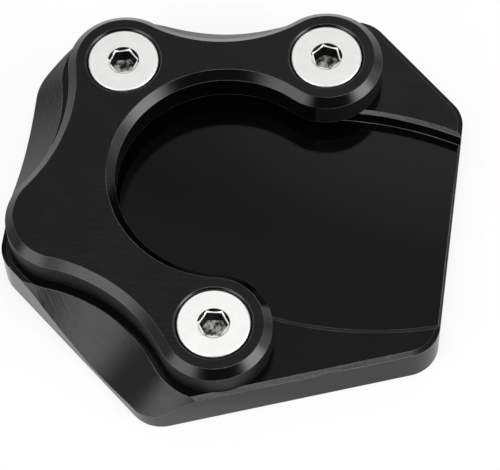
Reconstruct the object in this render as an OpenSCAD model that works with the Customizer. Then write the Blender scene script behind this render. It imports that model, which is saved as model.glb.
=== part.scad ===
// Side-stand foot enlarger: a thick base plate with a pocket for the foot of a
// motorbike's side stand, and a lobed C-shaped clamp plate held on it by screws.
// The origin is on the ground, under the centre of the round end of the pocket.
// +X points out of the open end of the pocket, +Z points up.

/* [Clamp plate] */
// Radius of the round opening inside the clamp plate
grip_r = 18.6; // [15:0.1:24]
// Radius of each lobe of the clamp plate
lobe_r = 9.6; // [8.8:0.1:12]
// Direction of the rear right lobe from the centre of the opening
rear_right_angle = 60; // [50:0.5:70]
// Direction of the rear left lobe
rear_left_angle = 136.3; // [128:0.1:145]
// Direction of the side lobe, which has no screw
side_angle = 203.7; // [196:0.1:212]
// Direction of the front lobe
front_angle = 274.2; // [268:0.1:282]
// Radius of the hollow side between the two rear lobes
rear_hollow_r = 24; // [18:0.5:40]
// Radius of the hollow side between the rear left lobe and the side lobe
left_hollow_r = 28.7; // [20:0.1:40]
// Radius of the hollow side between the side lobe and the front lobe
front_hollow_r = 28.7; // [20:0.1:40]
// Thickness of the clamp plate
clamp_t = 6; // [4.8:0.1:10]
// Bevel along every top edge of the clamp plate
clamp_bevel = 1.4; // [0.3:0.1:2]

/* [Base plate] */
// Thickness of the base plate
base_t = 8; // [6.5:0.1:12]
// Width of the bevel round the top of the base plate, seen from above
base_bevel = 0.85; // [0.3:0.05:1.2]
// Height of that bevel, which is also the height of the pocket's
bevel_drop = 0.3; // [0.1:0.05:0.6]
// Small bevel along the edge that stands on the ground
ground_bevel = 0.2; // [0.1:0.1:0.8]
// Radius of the corners of the base plate
corner_r = 6; // [3:0.5:8]
// Flat ledge of the base left showing around the clamp plate
ledge = 1.55; // [0.8:0.05:2.4]
// Slope of the scalloped side of the base below the ledge
scallop_slope = 42; // [36:1:60]
// Reach of the base past the front lobe
front_margin = 0.55; // [0.4:0.05:2]
// Reach of the base past the side lobe
left_margin = 0.6; // [0.4:0.05:2]
// Reach of the base past the lobes on its front left side
front_left_margin = 1.7; // [0.4:0.1:3]
// Reach of the base past the lobe on its rear left side
rear_left_margin = 1.6; // [0.4:0.1:3]
// Reach of the base past the lobes on its rear side
rear_margin = 1.4; // [0.4:0.1:3]
// Reach of the base past the lobe on its rear right side
rear_right_margin = 3.4; // [0.4:0.1:8]
// Reach of the base past the lobe on its right side
right_margin = 14.8; // [8:0.1:24]

/* [Foot pocket] */
// Depth of the pocket
pocket_depth = 3; // [1:0.1:4]
// How far the clamp plate reaches over the round end of the pocket
pocket_overlap = 2.4; // [0.5:0.1:3]
// Radius of the two long walls of the pocket
pocket_wall_r = 60; // [50:1:90]
// Place of the widest point of the pocket along X
pocket_wide_x = 20.6; // [16:0.2:26]
// Side of the pocket towards the front screw, at its widest point
pocket_front_y = 23.6; // [21.4:0.1:27]
// Side of the pocket towards the rear screws, at its widest point
pocket_rear_y = 17.5; // [16:0.1:20]
// Width of the bevel along the top of the long walls of the pocket
pocket_bevel = 0.7; // [0.3:0.1:1]
// Bevel along the floor at the open end of the pocket
mouth_bevel = 0.4; // [0.1:0.1:0.8]

/* [Screws] */
// Thread diameter
thread_d = 6; // [4:0.5:8]
// Length of a countersunk screw, with its head
screw_len = 12; // [8:1:14]
// Diameter of the head
head_d = 12; // [10:0.1:14]
// Height of the straight rim of the head
head_rim = 0.5; // [0.2:0.05:0.6]
// Bevel along the upper edge of the head
head_edge = 0.15; // [0.05:0.05:0.2]
// Width across the flats of the socket
socket_af = 4.1; // [3:0.1:5]
// Depth of the socket
socket_depth = 3.2; // [1.5:0.1:3.6]
// Depth of the countersink at the mouth of the socket
socket_lead = 0.38; // [0.1:0.02:0.6]
// Gap around the head at the surface of the clamp plate
head_gap = 0.55; // [0.2:0.05:0.7]
// Clearance of the thread in the clamp plate
thread_gap = 0.2; // [0.1:0.05:0.4]
// Direction in which the front socket has a corner
front_socket_turn = 5; // [0:1:59]
// Direction in which the rear left socket has a corner
rear_left_socket_turn = 15; // [0:1:59]
// Direction in which the rear right socket has a corner
rear_right_socket_turn = 50; // [0:1:59]

/* [Hidden] */
$fn = 96;
eps = 0.01;
// Tiny overlap where a round stretch meets the stretch beside it
seam = 0.001;
over = 1;
far = 60;
plate_colour = [0.1, 0.1, 0.11];
screw_colour = [0.86, 0.86, 0.87];

// Heights
pocket_z = base_t - pocket_depth;
top_z = base_t + clamp_t;
sink_r = head_d / 2 + head_gap;
head_top_z = top_z - head_gap + head_rim;
rim_z = head_top_z - head_rim;
neck_z = rim_z - (head_d - thread_d) / 2;
tip_z = head_top_z - screw_len;
thread_r = thread_d / 2;
thread_tip = thread_d / 12;
socket_r = socket_af / sqrt(3);
socket_floor_r = socket_r - 0.05;

// Plan of the clamp plate: lobes on one circle about the opening, and hollow
// sides that touch the lobes beside them
lobe_circle_r = grip_r + lobe_r;
rear_right = polar(lobe_circle_r, rear_right_angle);
rear_left = polar(lobe_circle_r, rear_left_angle);
side = polar(lobe_circle_r, side_angle);
front = polar(lobe_circle_r, front_angle);
lobes = [rear_right, rear_left, side, front];
hollows = [
    [touching(rear_right, rear_left, rear_hollow_r), rear_hollow_r],
    [touching(rear_left, side, left_hollow_r), left_hollow_r],
    [touching(side, front, front_hollow_r), front_hollow_r]
];

// Plan of the base plate: the outward direction of each edge and its distance
// from the origin, past the lobes on its side
edges = [
    [0, reach(0) + right_margin],
    [47, reach(47) + rear_right_margin],
    [96, reach(96) + rear_margin],
    [139.2, reach(139.2) + rear_left_margin],
    [180, reach(180) + left_margin],
    [229.2, reach(229.2) + front_left_margin],
    [290, reach(290) + front_margin]
];
corners = [for (i = [0:len(edges) - 1]) crossing(edges[i], edges[(i + 1) % len(edges)])];
rear_edge = 96;
front_edge = 290;

function polar(r, a) = [r * cos(a), r * sin(a)];
function dot(p, q) = p[0] * q[0] + p[1] * q[1];

// Centre of a circle of radius r that touches the lobes at p and q from outside
function touching(p, q, r) =
    let (m = (p + q) / 2, half = norm(q - p) / 2)
    m + m / norm(m) * sqrt(pow(r + lobe_r, 2) - half * half);

// How far the lobes reach in direction a
function reach(a) = max([for (p = lobes) dot(p, polar(1, a))]) + lobe_r;

// Centre of the corner between two edges
function crossing(e, f) =
    let (d = e[1] - corner_r, g = f[1] - corner_r, s = sin(f[0] - e[0]))
    [(d * sin(f[0]) - g * sin(e[0])) / s, (g * cos(e[0]) - d * cos(f[0])) / s];

// Section of the rim of the base from x to r, carried on above and below it
module base_rim(x, r) {
    polygon([[x, -over], [r - ground_bevel - over, -over], [r, ground_bevel],
        [r, base_t - bevel_drop], [r - 2 * base_bevel, base_t + bevel_drop], [x, base_t + bevel_drop]]);
}

// Disc that cuts a hollow side or a round opening with a bevelled top edge
module bevelled_cutter(r, h, bevel) {
    rotate_extrude()
        polygon([[0, -1], [r, -1], [r, h - bevel], [r + bevel + eps, h + eps], [0, h + eps]]);
}

// Plate through the lobes and the centres of the hollow sides
module web(h) {
    linear_extrude(h)
        polygon([lobes[0], hollows[0][0], lobes[1], hollows[1][0], lobes[2], hollows[2][0], lobes[3], [0, 0]]);
}

module clamp_body() {
    r = lobe_r + seam;
    difference() {
        union() {
            for (p = lobes)
                translate(p)
                    rotate_extrude()
                        polygon([[0, 0], [r, 0], [r, clamp_t - clamp_bevel], [r - clamp_bevel, clamp_t], [0, clamp_t]]);
            difference() {
                web(clamp_t);
                for (c = hollows)
                    translate(c[0]) bevelled_cutter(c[1], clamp_t, clamp_bevel);
            }
        }
        bevelled_cutter(grip_r, clamp_t, clamp_bevel);
    }
}

module clamp_plate() {
    color(plate_colour)
        difference() {
            translate([0, 0, base_t]) clamp_body();
            for (p = [rear_right, rear_left, front])
                translate(p) screw_hole();
        }
}

// Clearance hole with its countersink
module screw_hole() {
    hole_r = thread_r + thread_gap;
    translate([0, 0, base_t - 1]) cylinder(r = hole_r, h = clamp_t + 2);
    translate([0, 0, top_z - sink_r + hole_r])
        cylinder(r1 = hole_r, r2 = sink_r + eps, h = sink_r - hole_r + eps);
}

// The base with bevelled edges, before it is cut off at its top and bottom: one
// rim section carried along the edges and round the corners
module base_blank() {
    n = len(corners);
    translate([0, 0, -over]) linear_extrude(base_t + 2 * over) polygon(corners);
    for (i = [0:n - 1]) {
        along = corners[(i + 1) % n] - corners[i];
        translate(corners[i]) {
            rotate_extrude() base_rim(0, corner_r + seam);
            rotate([90, 0, edges[(i + 1) % n][0]])
                mirror([0, 0, 1]) linear_extrude(norm(along)) base_rim(-corner_r, corner_r);
        }
    }
}

// Everything that the sloping scallop cutter leaves: it follows the clamp plate
// at the width of the ledge, from the front edge round to the rear edge
module scallop_keep() {
    h = base_t + 2 * over;
    up = over / tan(scallop_slope);
    down = (h - over) / tan(scallop_slope);
    translate([0, 0, -over]) {
        for (p = lobes)
            translate(p) cylinder(r1 = lobe_r + ledge + down + seam, r2 = lobe_r + ledge - up + seam, h = h);
        difference() {
            web(h);
            for (c = hollows)
                translate(c[0]) cylinder(r1 = c[1] - ledge - down, r2 = c[1] - ledge + up, h = h);
        }
        linear_extrude(h)
            polygon([rear_right, [-over, 0], front, front + polar(far, front_edge), [2 * far, 0],
                rear_right + polar(far, rear_edge)]);
    }
}

// Pocket for the foot: a round end under the clamp plate and two long walls
module pocket() {
    translate([0, 0, pocket_z]) cylinder(r = grip_r + pocket_overlap, h = base_t);
    intersection() {
        pocket_side(pocket_rear_y - pocket_wall_r, pocket_z);
        pocket_side(pocket_wall_r - pocket_front_y, pocket_z);
        translate([0, -far, 0]) cube([2 * far, 2 * far, 2 * base_t]);
    }
    intersection() {
        pocket_side(pocket_rear_y - pocket_wall_r, 1);
        pocket_side(pocket_wall_r - pocket_front_y, 1);
        translate([edges[0][1] - mouth_bevel, far, pocket_z])
            rotate([90, 0, 0]) linear_extrude(2 * far) polygon([[0, eps], [0, 0], [over, -over], [over, eps]]);
    }
}

// One long wall, its centre at y, down to height z
module pocket_side(y, z) {
    wide = pocket_wall_r + 2 * pocket_bevel;
    translate([pocket_wide_x, y])
        rotate_extrude()
            polygon([[0, z], [pocket_wall_r, z], [pocket_wall_r, base_t - bevel_drop],
                [wide, base_t + bevel_drop], [0, base_t + bevel_drop]]);
}

module base_plate() {
    color(plate_colour)
        difference() {
            intersection() {
                base_blank();
                scallop_keep();
                translate([-far, -far, 0]) cube([2 * far, 2 * far, base_t]);
            }
            pocket();
            for (p = [rear_right, rear_left, front])
                translate([p[0], p[1], -1]) cylinder(r = thread_r, h = base_t + 2);
        }
}

// Countersunk screw with a hexagon socket
module screw(place, turn) {
    color(screw_colour)
        translate(place)
            difference() {
                rotate_extrude()
                    polygon([[0, tip_z], [thread_r - thread_tip, tip_z], [thread_r, tip_z + thread_tip],
                        [thread_r, neck_z], [head_d / 2, rim_z], [head_d / 2, head_top_z - head_edge],
                        [head_d / 2 - head_edge, head_top_z], [0, head_top_z]]);
                translate([0, 0, head_top_z - socket_depth]) rotate(turn)
                    cylinder(r = socket_r, h = socket_depth + 1, $fn = 6);
                translate([0, 0, head_top_z - socket_lead])
                    cylinder(r1 = socket_floor_r, r2 = socket_floor_r + 2 * socket_lead, h = 2 * socket_lead);
            }
}

module front_screw() { screw(front, front_socket_turn); }
module rear_left_screw() { screw(rear_left, rear_left_socket_turn); }
module rear_right_screw() { screw(rear_right, rear_right_socket_turn); }

base_plate();
clamp_plate();
front_screw();
rear_left_screw();
rear_right_screw();
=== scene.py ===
# Foot enlarger for a motorbike's side stand: black anodised plates and three countersunk screws.
import math

import bpy
from mathutils import Matrix, Vector


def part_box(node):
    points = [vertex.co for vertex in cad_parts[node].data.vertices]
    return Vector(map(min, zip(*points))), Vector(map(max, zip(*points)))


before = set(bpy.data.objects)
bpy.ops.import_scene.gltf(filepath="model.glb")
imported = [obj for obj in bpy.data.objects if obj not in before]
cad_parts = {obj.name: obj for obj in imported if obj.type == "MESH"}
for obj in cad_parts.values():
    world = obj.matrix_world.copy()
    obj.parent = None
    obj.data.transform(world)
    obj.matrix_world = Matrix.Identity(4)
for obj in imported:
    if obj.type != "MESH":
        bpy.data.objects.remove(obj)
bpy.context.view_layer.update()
scene = bpy.context.scene
scene.view_settings.view_transform = "Standard"
print("frame loaded:", ", ".join(sorted(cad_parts)))

millimetre = 0.001


def towards(azimuth, elevation):
    # unit vector of a direction given in degrees
    a, e = math.radians(azimuth), math.radians(elevation)
    return Vector((math.cos(a) * math.cos(e), math.sin(a) * math.cos(e), math.sin(e)))


def plug(tree, socket, value):
    if isinstance(value, bpy.types.NodeSocket):
        tree.links.new(value, socket)
    else:
        socket.default_value = value


def addNode(tree, kind, inputs=None, **settings):
    node = tree.nodes.new(kind)
    for name, value in settings.items():
        setattr(node, name, value)
    for name, value in (inputs or {}).items():
        plug(tree, node.inputs[name], value)
    return node


def calc(tree, operation, first, second=0.0, clamp=False):
    node = addNode(tree, "ShaderNodeMath", {0: first, 1: second}, operation=operation, use_clamp=clamp)
    return node.outputs[0]


def product(tree, first, *others):
    for other in others:
        first = calc(tree, "MULTIPLY", first, other)
    return first


def total(tree, first, *others):
    for other in others:
        first = calc(tree, "ADD", first, other)
    return first


def ramp(tree, value, low, high, lowOut=0.0, highOut=1.0):
    node = addNode(
        tree,
        "ShaderNodeMapRange",
        {"Value": value, "From Min": low, "From Max": high, "To Min": lowOut, "To Max": highOut},
        interpolation_type="SMOOTHSTEP",
    )
    return node.outputs["Result"]


def sway(tree, noise, low, high):
    # a noise's middle range, spread from low to high
    return ramp(tree, noise, 0.3, 0.7, low, high)


def mixed(tree, factor, first, second):
    return addNode(tree, "ShaderNodeMix", {"Factor": factor, 2: first, 3: second}).outputs[0]


def blend(tree, factor, first, second):
    # the same for colours
    node = addNode(tree, "ShaderNodeMix", {"Factor": factor}, data_type="RGBA")
    plug(tree, node.inputs[6], first)
    plug(tree, node.inputs[7], second)
    return node.outputs[2]


def dotted(tree, vector, other):
    node = addNode(tree, "ShaderNodeVectorMath", {0: vector, 1: other}, operation="DOT_PRODUCT")
    return node.outputs["Value"]


def along(tree, vector, axis):
    return addNode(tree, "ShaderNodeSeparateXYZ", {0: vector}).outputs[axis]


def facingUp(tree):
    # 1 on a level face, 0 on an upright one
    return along(tree, addNode(tree, "ShaderNodeNewGeometry").outputs["Normal"], "Z")


def fromAxis(tree, place):
    # level offset from the vertical axis through the origin, and its length
    offset = addNode(tree, "ShaderNodeVectorMath", {0: place, 1: (1, 1, 0)}, operation="MULTIPLY").outputs[0]
    return offset, addNode(tree, "ShaderNodeVectorMath", {0: offset}, operation="LENGTH").outputs["Value"]


def grain(tree, place, turn, size, detail=3.0, roughness=0.6):
    # noise stretched to size (x, y, z) in millimetres, turned about the vertical
    mapping = addNode(
        tree,
        "ShaderNodeMapping",
        {"Vector": place, "Rotation": (0, 0, math.radians(turn)), "Scale": [s * millimetre for s in size]},
        vector_type="TEXTURE",
    )
    noise = addNode(
        tree,
        "ShaderNodeTexNoise",
        {"Vector": mapping.outputs[0], "Scale": 1.0, "Detail": detail, "Roughness": roughness},
    )
    return noise.outputs[0]


def newMaterial(name):
    material = bpy.data.materials.new(name)
    material.use_nodes = True
    tree = material.node_tree
    tree.nodes.clear()
    shader = tree.nodes.new("ShaderNodeBsdfPrincipled")
    output = tree.nodes.new("ShaderNodeOutputMaterial")
    tree.links.new(shader.outputs[0], output.inputs["Surface"])
    return material, tree, shader


def edgeWearAndHighlight(tree, radius, sharp):
    # 0 on the faces, 1 where the rounded edge turns from the face by the angle whose cosine is sharp; it marks the
    # edges painted lighter, partly as real wear and partly as a painted highlight
    soft = addNode(tree, "ShaderNodeBevel", {"Radius": radius * millimetre}, samples=6)
    face = addNode(tree, "ShaderNodeNewGeometry").outputs["Normal"]
    return ramp(tree, dotted(tree, soft.outputs[0], face), 1.0, sharp)


def shapeSurface(tree, shader, radius, height, strength=1.0, samples=8):
    # edges rounded by radius in mm, with a fine relief over them
    soft = addNode(tree, "ShaderNodeBevel", {"Radius": radius * millimetre}, samples=samples)
    bump = addNode(
        tree,
        "ShaderNodeBump",
        {"Strength": strength, "Distance": 0.02 * millimetre, "Height": height, "Normal": soft.outputs[0]},
    )
    plug(tree, shader.inputs["Normal"], bump.outputs[0])


bothPlates = {
    "flat": (0.90, 0.98),  # facing up: not yet a top face, and fully one
    "upright": (0.35, 0.10),  # facing up: not yet a wall, and fully one
    "pocketLevel": (5.2, 5.1),  # mm, the pocket's floor lies below
    "innerReach": 20.0,  # mm from the axis of the round opening to where its own walls end
    "patchSize": (9, 9, 9),  # mm, uneven finish
    "speckSize": (0.12, 0.12, 0.12),
    "patchShift": (-0.03, 0.03),  # changes of roughness
    "brushShift": (-0.07, 0.08),
    "millShift": (-0.05, 0.05),
    "speckShift": 0.02,
    "speckDepth": 0.01,
    "brushFade": (0.35, 0.6, 0.35, 1.0),  # brushing is weaker in some patches
    "millOnWalls": 0.3,  # share of the cutter lines' depth
    "wearAndHighlightFade": (0.25, 0.6),
    "sharpEdge": 0.955,
}
basePlate = {
    "colour": (0.0009, 0.0009, 0.00095, 1),
    # lighter edge colour: partly real wear, partly a painted highlight
    "wornAndHighlight": (0.22, 0.22, 0.225, 1),
    "ior": 1.34,
    "roughness": 0.14,
    "pocketRoughness": 0.10,
    "bevelRoughness": 0.17,
    "wallRoughness": 0.17,
    "innerRoughness": 0.17,  # walls of the round opening
    "brushTurn": 8,  # degrees
    "brushSize": (9, 0.16, 0.3),  # mm
    "brushDepth": 0.02,
    "millSize": (3, 3, 0.25),  # mm, cutter lines along walls and slopes
    "millDepth": 1.0,
    "sweepTurn": -55,
    "sweepSize": (4, 0.22, 4),  # mm, brushing over the slopes
    "sweepDepth": 1.7,
    "edgeRadius": 0.15,
    "wearAndHighlightRadius": 0.14,
}
clampPlate = {
    "colour": (0.0009, 0.0009, 0.00095, 1),
    # lighter edge colour: partly real wear, partly a painted highlight
    "wornAndHighlight": (0.11, 0.11, 0.113, 1),
    "ior": 1.38,
    "roughness": 0.26,
    "pocketRoughness": 0.26,  # it has no pocket, so this shows nowhere
    "bevelRoughness": 0.13,
    "wallRoughness": 0.52,
    "innerRoughness": 0.10,
    "brushTurn": 8,
    "brushSize": (4, 0.20, 0.3),
    "brushDepth": 0.70,
    "millSize": (5, 5, 0.10),
    "millDepth": 0.22,
    "sweepTurn": 8,
    "sweepSize": (4, 0.20, 4),
    "sweepDepth": 0.25,
    "edgeRadius": 0.12,
    "wearAndHighlightRadius": 0.14,
}


def anodised(name, look):
    material, tree, shader = newMaterial(name)
    place = addNode(tree, "ShaderNodeTexCoord").outputs["Object"]
    up = facingUp(tree)
    onTop = ramp(tree, up, *bothPlates["flat"])
    onSide = calc(tree, "SUBTRACT", 1.0, onTop)
    onWall = ramp(tree, up, *bothPlates["upright"])
    above, below = (level * millimetre for level in bothPlates["pocketLevel"])
    inPocket = product(tree, ramp(tree, along(tree, place, "Z"), above, below), onTop)
    outside = calc(tree, "GREATER_THAN", fromAxis(tree, place)[1], bothPlates["innerReach"] * millimetre)
    brush = grain(tree, place, look["brushTurn"], look["brushSize"])
    mill = grain(tree, place, 0, look["millSize"], 2.0)
    sweep = grain(tree, place, look["sweepTurn"], look["sweepSize"])
    patches = grain(tree, place, 0, bothPlates["patchSize"], 4.0)
    specks = grain(tree, place, 0, bothPlates["speckSize"], 2.0)

    # edges painted lighter: partly real wear, partly a painted highlight on the rounded edges
    wearAndHighlight = edgeWearAndHighlight(tree, look["wearAndHighlightRadius"], bothPlates["sharpEdge"])
    wearAndHighlight = product(tree, wearAndHighlight, ramp(tree, patches, *bothPlates["wearAndHighlightFade"]))
    plug(tree, shader.inputs["Base Color"], blend(tree, wearAndHighlight, look["colour"], look["wornAndHighlight"]))

    walls = mixed(tree, outside, look["innerRoughness"], look["wallRoughness"])
    rough = mixed(tree, onWall, mixed(tree, onTop, look["bevelRoughness"], look["roughness"]), walls)
    streak = product(tree, sway(tree, brush, *bothPlates["brushShift"]), onTop)
    cut = product(tree, sway(tree, mill, *bothPlates["millShift"]), onSide)
    rough = total(tree, rough, sway(tree, patches, *bothPlates["patchShift"]), total(tree, streak, cut))
    smooth, shift = look["pocketRoughness"], bothPlates["speckShift"]
    rough = mixed(tree, inPocket, rough, sway(tree, specks, smooth - shift, smooth + shift))
    plug(tree, shader.inputs["Roughness"], rough)

    brushed = product(tree, brush, calc(tree, "SUBTRACT", onTop, inPocket), look["brushDepth"])
    brushed = product(tree, brushed, ramp(tree, patches, *bothPlates["brushFade"]))
    slope, wall = bothPlates["upright"]
    milled = product(tree, mill, onSide, ramp(tree, up, wall, slope, bothPlates["millOnWalls"], 1.0), look["millDepth"])
    swept = product(tree, sweep, calc(tree, "SUBTRACT", onSide, onWall, clamp=True), look["sweepDepth"])
    height = total(tree, brushed, total(tree, milled, swept), product(tree, specks, bothPlates["speckDepth"]))
    shapeSurface(tree, shader, look["edgeRadius"], height)
    shader.inputs["IOR"].default_value = look["ior"]
    return material


# lengths in mm, from the screw's axis or from the top of its head
screws = {
    "colour": (0.98, 0.975, 0.965, 1),
    "dull": (0.93, 0.925, 0.915, 1),
    "dullSize": (2.5, 2.5, 2.5),
    "roughness": 0.53,
    "ringShift": (-0.03, 0.03),  # changes of roughness
    "ringWidth": 0.30,
    "ringDepth": 0.05,
    "edgeRadius": 0.10,
    "socketReach": 2.80,
    "socketDepth": 3.3,
    # painted shade on the socket walls and painted dark reflection in the rear arcs of its mouth
    "socketShadeColour": (0.012, 0.012, 0.011, 1),
    "upright": 0.3,  # facing up: walls are below
    "level": 0.95,  # facing up: the floor is above
    "mouthDepth": 1.0,
    "lipInner": 2.27,  # the arcs of painted dark reflection at the mouth's rear: past this across flats, within the next from the axis
    "lipOuter": 2.70,
    "floorDepth": 2.0,  # the socket's floor lies deeper
    "floorDark": (0.04, 0.038, 0.036, 1),
    "floorBright": (0.85, 0.84, 0.82, 1),
    "floorGrain": (1.1, 1.1, 1.1),
    "floorRougher": 0.15,
    "socketTurns": {"front_screw": 5, "rear_left_screw": 15, "rear_right_screw": 50},  # degrees
}


def acrossFlats(tree, offset, turn):
    # how far out from the axis, measured square to the nearest flat of the hexagon
    far = 0.0
    for side in range(3):
        square = dotted(tree, offset, towards(turn + 30 + 60 * side, 0))
        far = calc(tree, "MAXIMUM", far, calc(tree, "ABSOLUTE", square))
    return far


def socketShadeAndFloorMasks(tree, depth, offset, reach, turn):
    # masks of the painted shade on the hexagon socket's walls and of the painted dark reflection in arcs at its mouth's
    # rear, and of its floor
    up = facingUp(tree)
    within = calc(tree, "LESS_THAN", reach, screws["socketReach"] * millimetre)
    within = product(tree, within, calc(tree, "LESS_THAN", depth, screws["socketDepth"] * millimetre))
    deep = calc(tree, "GREATER_THAN", depth, screws["floorDepth"] * millimetre)
    floor = product(tree, within, calc(tree, "GREATER_THAN", up, screws["level"]), deep)
    wall = calc(tree, "LESS_THAN", calc(tree, "ABSOLUTE", up), screws["upright"])
    mouth = calc(tree, "GREATER_THAN", up, screws["upright"])
    mouth = product(tree, mouth, calc(tree, "LESS_THAN", depth, screws["mouthDepth"] * millimetre))
    # only the rear half of the mouth gets the arcs of painted dark reflection
    rear = calc(tree, "GREATER_THAN", along(tree, offset, "Y"), 0.0)
    pastFlats = calc(tree, "GREATER_THAN", acrossFlats(tree, offset, turn), screws["lipInner"] * millimetre)
    arcs = product(tree, mouth, rear, pastFlats, calc(tree, "LESS_THAN", reach, screws["lipOuter"] * millimetre))
    return product(tree, within, calc(tree, "ADD", wall, arcs, clamp=True)), floor


def turnedSteel(node, turn):
    material, tree, shader = newMaterial(node + "Steel")
    lowest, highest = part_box(node)
    place = addNode(tree, "ShaderNodeTexCoord").outputs["Object"]
    shifted = addNode(tree, "ShaderNodeMapping", {"Vector": place, "Location": -(lowest + highest) / 2})
    offset, reach = fromAxis(tree, shifted.outputs[0])
    depth = calc(tree, "SUBTRACT", highest.z, along(tree, place, "Z"))
    dark, floor = socketShadeAndFloorMasks(tree, depth, offset, reach, turn)
    outward = calc(tree, "DIVIDE", reach, screws["ringWidth"] * millimetre)
    outward = addNode(tree, "ShaderNodeCombineXYZ", {0: outward}).outputs[0]
    rings = addNode(tree, "ShaderNodeTexNoise", {"Vector": outward, "Scale": 1.0, "Detail": 3.0}).outputs[0]
    patches = grain(tree, place, 0, screws["dullSize"])
    mottle = grain(tree, place, 0, screws["floorGrain"], 4.0, 0.7)
    steel = blend(tree, ramp(tree, patches, 0.25, 0.75), screws["dull"], screws["colour"])
    bottom = blend(tree, ramp(tree, mottle, 0.38, 0.62), screws["floorDark"], screws["floorBright"])
    steel = blend(tree, floor, steel, bottom)
    # the socket's walls and rear mouth arcs get painted shade and a painted dark reflection
    plug(tree, shader.inputs["Base Color"], blend(tree, dark, steel, screws["socketShadeColour"]))
    rough = total(tree, sway(tree, rings, *screws["ringShift"]), screws["roughness"])
    rough = total(tree, rough, product(tree, floor, screws["floorRougher"]))
    plug(tree, shader.inputs["Roughness"], rough)
    shapeSurface(tree, shader, screws["edgeRadius"], rings, screws["ringDepth"], samples=6)
    shader.inputs["Metallic"].default_value = 1.0
    return material


def paint(node, material):
    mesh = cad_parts[node].data
    mesh.materials.clear()
    mesh.materials.append(material)


paint("base_plate", anodised("baseAnodised", basePlate))
paint("clamp_plate", anodised("clampAnodised", clampPlate))
for screwName, socketTurn in screws["socketTurns"].items():
    paint(screwName, turnedSteel(screwName, socketTurn))
print("finishes applied")

# white: how much of the floor's look is plain white, to the camera and in reflections
floorLook = {
    "size": 3.0,
    "colour": (0.95, 0.95, 0.95, 1),
    "roughness": 0.9,
    "white": 0.8,
    "whiteInGloss": 0.5,
    "whiteLevel": 1.2,
    "reflectedShadeFront": (-60, 0.0345, 0.039, 0.5),  # painted shade on the floor as seen in reflections: dim towards this side, from and to these distances, to this
}


def makeFloor(look):
    half = look["size"] / 2
    mesh = bpy.data.meshes.new("studioFloor")
    mesh.from_pydata([(-half, -half, 0), (half, -half, 0), (half, half, 0), (-half, half, 0)], [], [(0, 1, 2, 3)])
    floor = bpy.data.objects.new("studioFloor", mesh)
    scene.collection.objects.link(floor)
    material, tree, shader = newMaterial("studioWhite")
    shader.inputs["Base Color"].default_value = look["colour"]
    shader.inputs["Roughness"].default_value = look["roughness"]
    shader.inputs["Specular IOR Level"].default_value = 0.0
    # painted shade: the floor's glow in reflections is lowered towards the front, standing in for its shadow near the
    # part
    side, start, stop, dim = look["reflectedShadeFront"]
    ahead = dotted(tree, addNode(tree, "ShaderNodeTexCoord").outputs["Object"], towards(side, 0))
    ahead = ramp(tree, ahead, start, stop, look["whiteLevel"], dim)
    rays = addNode(tree, "ShaderNodeLightPath")
    mirrored = calc(tree, "MAXIMUM", rays.outputs["Is Glossy Ray"], rays.outputs["Is Transmission Ray"])
    strength = mixed(tree, mirrored, 1.0, ahead)
    white = addNode(tree, "ShaderNodeEmission", {"Color": (1, 1, 1, 1), "Strength": strength})
    seen = product(tree, rays.outputs["Is Camera Ray"], look["white"])
    share = calc(tree, "MAXIMUM", product(tree, mirrored, look["whiteInGloss"]), seen)
    mix = addNode(tree, "ShaderNodeMixShader", {0: share, 1: shader.outputs[0], 2: white.outputs[0]})
    output = next(n for n in tree.nodes if n.type == "OUTPUT_MATERIAL")
    tree.links.new(mix.outputs[0], output.inputs["Surface"])
    mesh.materials.append(material)


softbox = {
    "aim": (0, 0, 0.008),
    "azimuth": -78,
    "elevation": 82,
    "distance": 0.9,
    "width": 0.42,
    "height": 0.34,
    "glow": 5.6,
}


def makeSoftbox(look):
    lamp = bpy.data.lights.new("overheadSoftbox", "AREA")
    lamp.shape = "RECTANGLE"
    lamp.size = look["width"]
    lamp.size_y = look["height"]
    lamp.energy = look["glow"] * math.pi * look["width"] * look["height"]
    box = bpy.data.objects.new("overheadSoftbox", lamp)
    direction = towards(look["azimuth"], look["elevation"])
    box.location = Vector(look["aim"]) + direction * look["distance"]
    box.rotation_euler = direction.to_track_quat("Z", "Y").to_euler()
    scene.collection.objects.link(box)


# levels near the floor and overhead; patches: azimuth, elevation, full within and none past (degrees), level
room = {
    "low": 0.74,
    "high": 0.54,
    "lowTo": 12,
    "highFrom": 52,
    "shade": (-74, 37, 21, 32, 0.12),
    "glows": {
        "rightWindow": (-18, 17, 6, 26, 7.8),
        "rightWall": (8, 8, 5, 27, 1.2),
        "leftWindow": (-134, 21, 9, 29, 3.7),
        "rearLeftCurtain": (145, 40, 9, 20, -0.42),
        "backWall": (92, 57, 4, 6.2, 0.40),
    },
    # a dark bar from one direction to the other, full within and none past (degrees)
    "bar": {"start": (104.6, 60.8), "stop": (91, 62.9), "inner": 0.25, "outer": 1.0, "reach": (7, 11), "level": -0.32},
}


def patch(tree, direction, azimuth, elevation, inner, outer):
    angle = calc(tree, "ARCCOSINE", dotted(tree, direction, towards(azimuth, elevation)))
    return ramp(tree, angle, math.radians(outer), math.radians(inner))


def darkBar(tree, direction, look):
    first, last = towards(*look["start"]), towards(*look["stop"])
    off = dotted(tree, direction, first.cross(last).normalized())
    inner, outer = (math.sin(math.radians(look[name])) for name in ("inner", "outer"))
    across = ramp(tree, calc(tree, "ABSOLUTE", off), outer, inner)
    near, far = (math.cos(math.radians(degrees)) for degrees in look["reach"])
    lengthwise = ramp(tree, dotted(tree, direction, (first + last).normalized()), far, near)
    return product(tree, across, lengthwise, look["level"])


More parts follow.
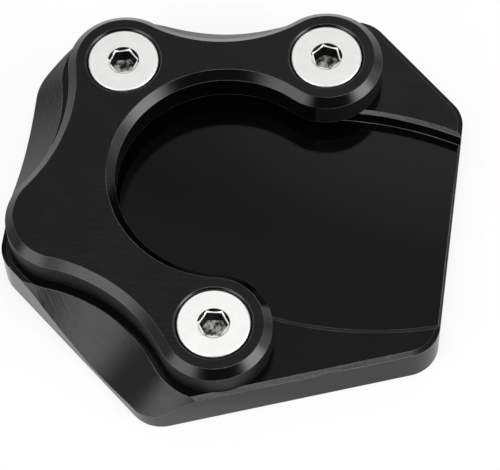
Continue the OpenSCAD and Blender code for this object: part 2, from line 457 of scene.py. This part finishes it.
def makeRoom(look):
    world = bpy.data.worlds.new("room")
    scene.world = world
    world.use_nodes = True
    tree = world.node_tree
    tree.nodes.clear()
    direction = addNode(tree, "ShaderNodeTexCoord").outputs["Generated"]
    steps = [math.sin(math.radians(look[name])) for name in ("lowTo", "highFrom")]
    level = ramp(tree, along(tree, direction, "Z"), *steps, look["low"], look["high"])
    *aim, dark = look["shade"]
    level = mixed(tree, patch(tree, direction, *aim), level, dark)
    for *aim, glow in look["glows"].values():
        level = total(tree, level, product(tree, patch(tree, direction, *aim), glow))
    level = total(tree, level, darkBar(tree, direction, look["bar"]))
    level = mixed(tree, addNode(tree, "ShaderNodeLightPath").outputs["Is Camera Ray"], level, 1.0)
    background = addNode(tree, "ShaderNodeBackground", {"Color": (1, 1, 1, 1), "Strength": level})
    output = tree.nodes.new("ShaderNodeOutputWorld")
    tree.links.new(background.outputs[0], output.inputs["Surface"])


makeFloor(floorLook)
makeSoftbox(softbox)
makeRoom(room)
print("floor and light set")

# the photographed view: lengths in mm, angles in degrees
view = {
    "target": (5.849, -11.527, 14.0),
    "azimuth": -79.5,
    "elevation": 62.218,
    "roll": -3.097,
    "distance": 407.95,
    "lens": 178.164,
    "sensor": 36,
    "nudge": 0.082,  # half a pixel up and to the left
}


def makeCamera(look):
    lens = bpy.data.cameras.new("photoView")
    lens.lens = look["lens"]
    lens.sensor_width = look["sensor"]
    lens.sensor_fit = "HORIZONTAL"
    camera = bpy.data.objects.new("photoView", lens)
    back = towards(look["azimuth"], look["elevation"])
    across = Vector((0, 0, 1)).cross(back).normalized()
    above = back.cross(across)
    roll = math.radians(look["roll"])
    right = across * math.cos(roll) + above * math.sin(roll)
    upward = above * math.cos(roll) - across * math.sin(roll)
    place = Vector(look["target"]) + back * look["distance"] + (upward - right) * look["nudge"]
    turn = Matrix((right, upward, back)).transposed()
    camera.matrix_world = Matrix.Translation(place * millimetre) @ turn.to_4x4()
    scene.collection.objects.link(camera)
    scene.camera = camera


makeCamera(view)
print("camera set")
